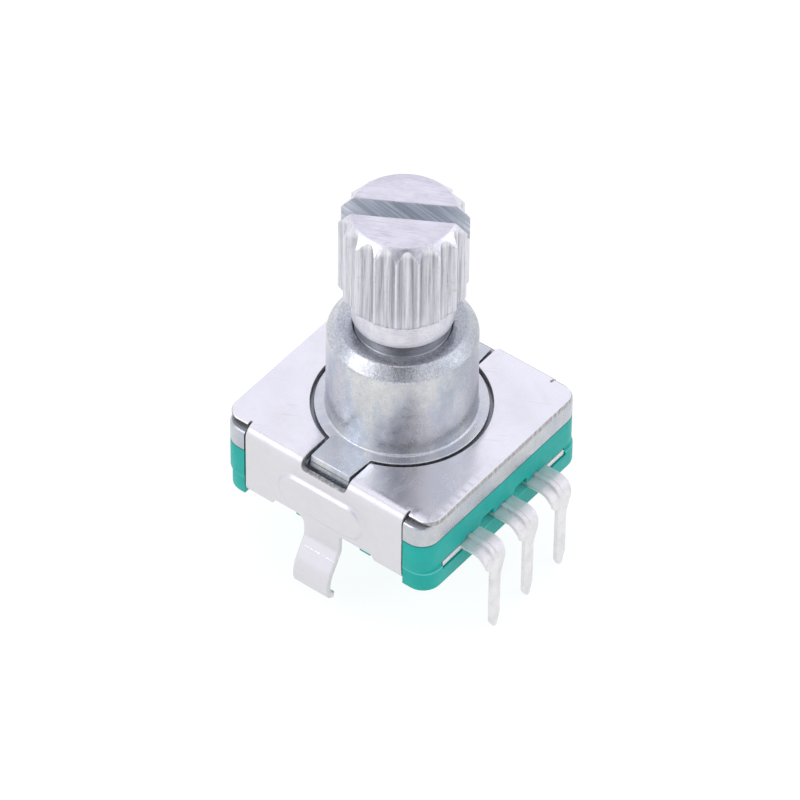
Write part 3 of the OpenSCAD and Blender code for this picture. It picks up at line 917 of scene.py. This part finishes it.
def build_base():
    top = flange_bottom - 0.004
    upper = plate("base_moulded", rounded_corners(2 * body_x, 2 * body_y, BODY_CORNER),
                  parting_z, top, 0.045)
    lower = plate("lower", rounded_corners(2 * body_x - 0.04, 2 * body_y, BODY_CORNER,
                                           -LOWER_SHIFT),
                  base_bottom, parting_z + 0.02, 0.035)
    pad = plate("pad", rounded_corners(SEAT_PAD_W, SEAT_PAD_W, 1.0), base_lo[2], 1.0, 0.06)
    combine(upper, [lower, pad], "UNION")
    combine(upper, flap_recess("recess", base_lo[2] - PAST, top + PAST, False), "DIFFERENCE")
    wall = -body_y
    outside, beneath = wall - PAST, -PAST
    cuts = [lathe("cavity", [(0, cavity_floor), (CAVITY_R, cavity_floor), (CAVITY_R, 5),
                             (0, 5)], 128),
            lathe("pilot", [(0, PILOT_FLOOR), (PILOT_HOLE_R, PILOT_FLOOR), (PILOT_HOLE_R, 5),
                            (0, 5)], 48)]
    for s in (-1, 1):
        for t in (-1, 1):
            ys = sorted((t * 2.85, t * flap_half))
            cuts.append(side_block("claw_pocket", s, body_x - 0.85, body_x + PAST,
                                   (ys[0], beneath), (ys[1], CLAW_POCKET_TOP)))
        window = side_block("window", s, PITCH + STRIP_W / 2 - 0.05, FRAME_END,
                            (outside, parting_z - 0.17), (wall + 0.35, strip_top))
        cuts.append(soften(window, 0.05, 2, 30))
        cuts.append(side_block("lead_slit", s, PITCH, FRAME_END - 0.04,
                               (outside, strip_top - LEAD_T), (wall + 0.75, strip_top - 0.001)))
        cuts.append(side_block("pad_slot", s, 2.8, 4.0, (-4.2, cavity_floor + 0.001),
                               (-2.7, 1.8)))
    for i in (-1, 0, 1):
        x = i * PITCH
        cuts.append(block("strip_slot", (x - STRIP_W / 2, outside, cavity_floor - 0.001),
                          (x + STRIP_W / 2, -3.4, strip_top)))
        # The rib's own notch, and the small sink above it.
        notch = rounded_path([(x - 0.3, strip_top - 0.1), (x - 0.24, strip_top + 0.16, 0.08),
                              (x + 0.12, strip_top + 0.16, 0.08), (x + 0.2, strip_top - 0.1)])
        cuts.append(prism("rib_notch", notch, outside, wall + 0.14, "y"))
    # Beside two of the strips the wall falls away towards the terminal.
    for x in (-STRIP_W / 2, PITCH - STRIP_W / 2):
        ramp = rounded_path([(x - 0.95, outside), (x - 0.95, wall), (x - 0.35, wall + 0.26, 0.3),
                             (x + 0.02, wall + 0.34), (x + 0.02, outside)])
        cuts.append(soften(prism("wall_pocket", ramp, parting_z + 0.001, parting_z + 0.62),
                           0.05, 2, 30))
    # Under the flaps the bottom is rebated, except at two short tongues.
    for s in (-1, 1):
        for low, high in ((-flap_half, -2.5), (-1.9, 1.2), (1.8, flap_half)):
            cuts.append(side_block("rebate", s, REBATE_X, body_x + PAST, (low, beneath),
                                   (high, REBATE_TOP)))
        cuts.append(side_block("tongues", s, REBATE_X, body_x + PAST, (-2.6, beneath),
                               (1.9, TONGUE_BOTTOM)))
    combine(upper, cuts, "DIFFERENCE")
    finish_piece(upper, "base", "housing", [green_moulding()], 34)


# ---- Folded sheet pieces ----


def path_table(turns, start, step=0.01):
    """Middle line of a folded sheet from (length, degrees turned) runs."""
    at, angle, rows = np.array(start, float), 0.0, []
    s = 0.0
    for length, turn in turns:
        n = max(1, int(round(length / step)))
        for _ in range(n):
            rows.append((s, at[0], at[1], angle))
            angle += math.radians(turn) / n / 2
            at = at + np.array([math.cos(angle), -math.sin(angle)]) * length / n
            angle += math.radians(turn) / n / 2
            s += length / n
    rows.append((s, at[0], at[1], angle))
    return np.array(rows)


def along(table, s):
    return [np.interp(s, table[:, 0], table[:, k]) for k in (1, 2, 3)]


mid_bend = (fold_r - SHEET / 2) * math.pi / 2
fold_x = body_x - fold_r
flap_start = fold_x + mid_bend
KNEE_Z = -0.15
LEG_HIGHLIGHT_Z = -0.63
RIB_Z = 2.25
RIB_DEPTH = 0.19
RIB_WALL = 0.24


def flap_length(z):
    """Distance along the sheet's middle line from the axis to a height on the flap."""
    return flap_start + (cover_top - fold_r) - z


def capsule(y, z, half, radius):
    return np.hypot(np.maximum(np.abs(y) - half, 0), z) - radius


def build_cover():
    # Runs of sheet from the axis outwards: the plate, the fold, the flap, and then the leg's
    # or the claw's own bends.
    leg_turns = [(fold_x, 0), (mid_bend, 90), (cover_top - fold_r - KNEE_Z, 0),
                 (0.2, -31), (1.02, 0), (1.15, 36), (0.60, 72), (0.05, 0), (0.3, 0)]
    claw_z = 0.76
    claw_bend = 0.2 * math.pi / 2
    claw_turns = [(fold_x, 0), (mid_bend, 90), (cover_top - fold_r - claw_z, 0),
                  (claw_bend, 90), (0.6, 0)]
    start = (0.0, cover_top - SHEET / 2)
    leg_path, claw_path = path_table(leg_turns, start), path_table(claw_turns, start)
    leg_end = leg_path[-1, 0] - 0.3
    claw_end = flap_length(claw_z) + claw_bend + 0.38
    low = flap_length(FLAP_BOTTOM)
    px, fw = 5.47, FLAP_W / 2
    cut = fold_x + 0.02
    half_side = [
        (px, -plate_y, 0.7), (px, -fw - 0.09, 0.06), (cut, -fw - 0.09, 0.04),
        (cut, -fw, 0.04), (claw_end, -fw, 0.2), (claw_end, -3.35, 0.12),
        (low + 0.02, -2.82, 0.06), (low, -2.70, 0.04),
        (low, -0.92, 0.3), (leg_end + 0.06, -0.9, 0.12), (leg_end - 0.16, 1.1, 0.3),
        (low, 1.12, 0.45), (low, 2.70, 0.04), (low + 0.02, 2.82, 0.06),
        (claw_end, 3.35, 0.12), (claw_end, fw, 0.2), (cut, fw, 0.04), (cut, fw + 0.09, 0.04),
        (px, fw + 0.09, 0.05), (px, plate_y, 0.7)]
    outer = half_side + [(-x, y, r) for x, y, r in reversed(half_side)]
    outline = loop_of(outer, 0.1)

    hole_r, notch, nr = 4.22, 1.3, 0.1
    notch_end = flap_start + 0.02
    cy = notch + nr
    cx = math.sqrt((hole_r + nr) ** 2 - cy * cy)
    a1 = math.atan2(cy, cx)
    pts, nrm = [], []

    def arc(middle, r, start, stop, count, out):
        """Points on an arc, with normals away from its middle, or towards it if out is -1."""
        turns = [(math.cos(a), math.sin(a)) for a in np.radians(np.linspace(start, stop, count))]
        return [((middle[0] + r * c, middle[1] + r * s), (out * c, out * s)) for c, s in turns]

    def quarter():
        """From the notch's end to the middle of the hole's far side, at y > 0."""
        er = 0.28
        rows = [((notch_end, y), (-1, 0)) for y in np.arange(0, notch - er, 0.1)]
        rows += arc((notch_end - er, notch - er), er, 0, 90, 7, -1)
        rows += [((x, notch), (0, -1)) for x in np.arange(notch_end - er - 0.08, cx + 0.04, -0.08)]
        rows += arc((cx, cy), nr, -90, math.degrees(a1) - 180, 6, 1)
        return rows + arc((0, 0), hole_r, math.degrees(a1), 90, 34, -1)[1:]

    q = quarter()
    for sx, sy, part in ((1, 1, q), (-1, 1, q[-2::-1]), (-1, -1, q[1:]), (1, -1, q[-2:0:-1])):
        for (x, y), (nx, ny) in part:
            pts.append((sx * x, sy * y))
            nrm.append((sx * nx, sy * ny))
    keyhole = (np.array(pts), np.array(nrm))

    def fold(points):
        out = np.zeros_like(points)
        s, y, n = np.abs(points[:, 0]), points[:, 1], points[:, 2]
        sign = np.where(points[:, 0] < 0, -1.0, 1.0)
        claw = np.abs(y) > 2.8
        lx, lz, la = along(leg_path, s)
        kx, kz, ka = along(claw_path, s)
        x, z, a = np.where(claw, kx, lx), np.where(claw, kz, lz), np.where(claw, ka, la)
        height = cover_top - fold_r - (s - flap_start)
        on_flap = (s > flap_start) & (height > FLAP_BOTTOM - 0.02)
        d = capsule(y - 0.1, height - RIB_Z, 1.45, 1.08)
        press = np.clip(-d / RIB_WALL, 0, 1)
        press = RIB_DEPTH * press * press * (3 - 2 * press) * on_flap
        m = n - SHEET / 2 + press
        out[:, 0] = sign * (x + m * np.sin(a))
        out[:, 1] = y
        out[:, 2] = z + m * np.cos(a)
        # Pressed sheet is never quite flat.
        wave = np.array([noise.noise(Vector((0.35 * p[0], 0.35 * p[1], 0.35 * p[2])))
                         for p in out])
        flat = np.clip((np.hypot(points[:, 0], y) - 4.2) / 1.5, 0, 1)
        out[:, 2] -= 0.012 * flat * (1 + wave) * (s < fold_x) * (np.abs(y) > 1.6)
        return out

    xs = np.concatenate([np.arange(0.25, 5.0, 0.5), np.arange(5.12, 6.15, 0.07),
                         np.arange(6.2, low - 0.06, 0.06), np.arange(low, leg_end, 0.07)])
    xs = np.concatenate([-xs, xs])
    coarse = grid(xs[np.abs(xs) < 5.1], np.arange(-5.85, 5.9, 0.45))
    fine = grid(xs[np.abs(xs) > 5.1], np.concatenate([np.arange(-4.4, -2.8, 0.2),
                                                      np.arange(-2.76, 2.8, 0.06),
                                                      np.arange(2.85, 4.5, 0.2)]))
    obj = sheet("cover_folded", [outline, keyhole], SHEET, 0.05,
                np.concatenate([coarse, fine]), fold)
    finish_piece(obj, "cover_frame", "housing",
                 [tinned_sheet(), sheared_edge()], 40)


def build_terminal(node, x0, side, materials):
    """side is -1 or 1 for an outer terminal, 0 for the middle one."""
    bend_r = 0.8
    flat_end = pin_face - bend_r
    inner_end = -4.0 if side else -3.9
    bend_len = (bend_r - STRIP / 2) * math.pi / 2
    bend_end = flat_end + bend_len

    def down(z):
        return bend_end + (strip_top - bend_r) - z

    half, pin = STRIP_W / 2, 0.33
    tip = down(pin_tip)
    corners = [(-inner_end, -half, 0.06), (down(1.05), -half, 0.5), (down(0.5), -0.60, 0.08),
               (down(0.38), -pin, 0.1), (down(pin_tip + 0.45), -pin, 0.3), (tip, -0.10, 0.1),
               (tip, 0.10, 0.1), (down(pin_tip + 0.7), pin, 0.4), (down(-0.25), pin, 0.9),
               (down(0.65), half - 0.1, 0.6), (down(1.3), half, 0.3), (-inner_end, half, 0.06)]
    table = path_table([(bend_len, 90), (6, 0)], (0, 0))

    def fold(points):
        out = np.zeros_like(points)
        v, x, n = points[:, 0], points[:, 1], points[:, 2]
        past = np.maximum(v - flat_end, 0)
        dy, dz, a = along(table, past)
        ridge = np.clip((0.16 - np.abs(x + 0.06)) / 0.045, 0, 1)
        ridge = ridge * ridge * (3 - 2 * ridge)
        fade = np.clip((flat_end + 0.95 - v) / 0.5, 0, 1)
        step = 0.05 * np.clip((x - 0.10) / 0.05, 0, 1) * fade
        lift = (0.14 * ridge * fade + step) * (n > STRIP / 2)
        m = n - STRIP / 2 + lift - 0.03 * (n > STRIP / 2) * fade
        out[:, 0] = x0 + x
        out[:, 1] = -(np.minimum(v, flat_end) + dy + m * np.sin(a))
        out[:, 2] = strip_top - STRIP / 2 + dz + m * np.cos(a)
        return out

    vs = np.concatenate([np.arange(-inner_end + 0.2, 5.6, 0.4), np.arange(5.7, down(0), 0.07),
                         np.arange(down(0), tip, 0.2)])
    us = np.concatenate([np.arange(-0.7, -0.25, 0.05), np.arange(-0.245, 0.2, 0.022),
                         np.arange(0.22, 0.72, 0.05)])
    obj = sheet("lead_" + node, [loop_of(corners, 0.08)], STRIP, 0.035, grid(vs, us), fold)
    if side:
        lead = side_block("lead_end", side, PITCH, FRAME_END - 0.05,
                          (-body_y + 0.05, strip_top - LEAD_T + 0.002),
                          (-body_y + 0.72, strip_top - 0.035))
        end = side_block("lead_lip", side, PITCH + 0.6, FRAME_END - 0.07,
                         (-body_y - 0.04, strip_top - 0.34),
                         (-body_y + 0.32, strip_top - 0.06))
        pad = side_block("lead_pad", side, PITCH + 0.3, PITCH + 1.5,
                         (-4.2, strip_top - STRIP + 0.002), (-2.7, strip_top - 0.002))
        combine(obj, [soften(lead, 0.02, 2, 30), soften(end, 0.03, 2, 30), pad], "UNION")
    finish_piece(obj, node, "housing", materials, 40)


build_shaft()
build_bushing()
build_base()
build_cover()
plated = [terminal_plate()]
for node, x0, side in (("terminal_a", -PITCH, -1), ("terminal_common", 0.0, 0),
                       ("terminal_b", PITCH, 1)):
    build_terminal(node, x0, side, plated)

bronze = plain_metal("spring_bronze", (0.58, 0.36, 0.20), (0.74, 0.50, 0.30), 0.25, 0.4,
                     (8, 1, 1))
steel = plain_metal("spring_steel", (0.42, 0.43, 0.45), (0.60, 0.61, 0.63), 0.22, 0.38,
                    (1, 8, 8))
gold = plain_metal("contact_gold", (0.78, 0.56, 0.26), (0.90, 0.70, 0.38), 0.2, 0.35,
                   (1, 10, 1))
moulded = natural_plastic()
for node, mat in (("wiper_a", bronze), ("wiper_common", bronze), ("wiper_b", bronze),
                  ("detent_spring", steel), ("retaining_ring", steel),
                  ("slide_washer", moulded), ("detent_rotor", moulded),
                  ("code_disc", gold)):
    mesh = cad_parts[node].data
    mesh.materials.clear()
    mesh.materials.append(mat)

# ---- Camera: the photograph's viewpoint ----

AZ, EL, ROLL = -52.599, 44.692, 0.73
DISTANCE = 316.421
TARGET = Vector((0, 0, 8.0))
AIM_RIGHT, AIM_UP = -0.116, -2.413
LENS = 312.21567
SENSOR = 36.0
az, el, roll = (math.radians(v) for v in (AZ, EL, ROLL))
back = Vector((math.sin(az) * math.cos(el), -math.cos(az) * math.cos(el), math.sin(el)))
level = Vector((math.cos(az), math.sin(az), 0))
raised = back.cross(level)
right = level * math.cos(roll) + raised * math.sin(roll)
upward = -level * math.sin(roll) + raised * math.cos(roll)
eye = TARGET + back * DISTANCE
aim = TARGET + AIM_RIGHT * right + AIM_UP * upward
axis_z = (eye - aim).normalized()
axis_x = (right - axis_z * right.dot(axis_z)).normalized()
axis_y = axis_z.cross(axis_x)
turn = Matrix((axis_x, axis_y, axis_z)).transposed().to_4x4()
camera_data = bpy.data.cameras.new("camera")
camera_data.sensor_width = SENSOR
camera_data.lens = LENS
camera_data.clip_start = 0.01
camera_data.clip_end = 10
camera = bpy.data.objects.new("camera", camera_data)
camera.matrix_world = Matrix.Translation(eye * MM) @ turn
bpy.context.scene.collection.objects.link(camera)
bpy.context.scene.camera = camera

# ---- Floor, lights and surroundings ----

floor_z = cad_box[0][2] - 0.00002
bm = bmesh.new()
bmesh.ops.create_grid(bm, x_segments=8, y_segments=8, size=1.5)
floor_mesh = bpy.data.meshes.new("floor")
bm.to_mesh(floor_mesh)
bm.free()
floor = bpy.data.objects.new("floor", floor_mesh)
floor.location = (0, 0, floor_z)
bpy.context.scene.collection.objects.link(floor)
paper = Look("paper_floor", Roughness=0.9, Specular_IOR_Level=0.1)
paper.shader.inputs["Emission Strength"].default_value = 0.86
paper.shader.inputs["Emission Color"].default_value = (1, 1, 1, 1)
paper.shader.inputs["Base Color"].default_value = (0.20, 0.20, 0.20, 1)
paper.bump(paper.noise(2.0, detail=2), 0.002)
floor_mesh.materials.append(paper.mat)

world = bpy.data.worlds.new("tent")
bpy.context.scene.world = world
world.use_nodes = True
tree = world.node_tree
sky = tree.nodes["Background"]
direction = tree.nodes.new("ShaderNodeTexCoord")
toward = tree.nodes.new("ShaderNodeVectorMath")
toward.operation = "DOT_PRODUCT"
toward.inputs[1].default_value = back
tree.links.new(direction.outputs["Generated"], toward.inputs[0])
opening = tree.nodes.new("ShaderNodeValToRGB")
opening.color_ramp.elements[0].position = 0.925
opening.color_ramp.elements[0].color = (0.955, 0.945, 1.04, 1)
opening.color_ramp.elements[1].position = 0.988
opening.color_ramp.elements[1].color = (0.03, 0.04, 0.07, 1)
tree.links.new(toward.outputs["Value"], opening.inputs["Fac"])
tree.links.new(opening.outputs["Color"], sky.inputs["Color"])
sky.inputs["Strength"].default_value = 1.0


def soft_light(name, place, size, power, colour=(1, 1, 1)):
    data = bpy.data.lights.new(name, "AREA")
    data.shape = "RECTANGLE"
    data.size, data.size_y = size
    data.energy = power
    data.color = colour
    lamp = bpy.data.objects.new(name, data)
    lamp.location = place
    lamp.rotation_euler = (Vector((0, 0, 0.005)) - Vector(place)).to_track_quat(
        "-Z", "Y").to_euler()
    bpy.context.scene.collection.objects.link(lamp)


soft_light("key", (-0.35, 0.215, 0.285), (0.22, 0.22), 0.36)
soft_light("fill", (0.25, -0.32, 0.22), (0.25, 0.25), 0.15, (0.97, 0.98, 1.0))
bpy.context.scene.view_settings.view_transform = "Standard"
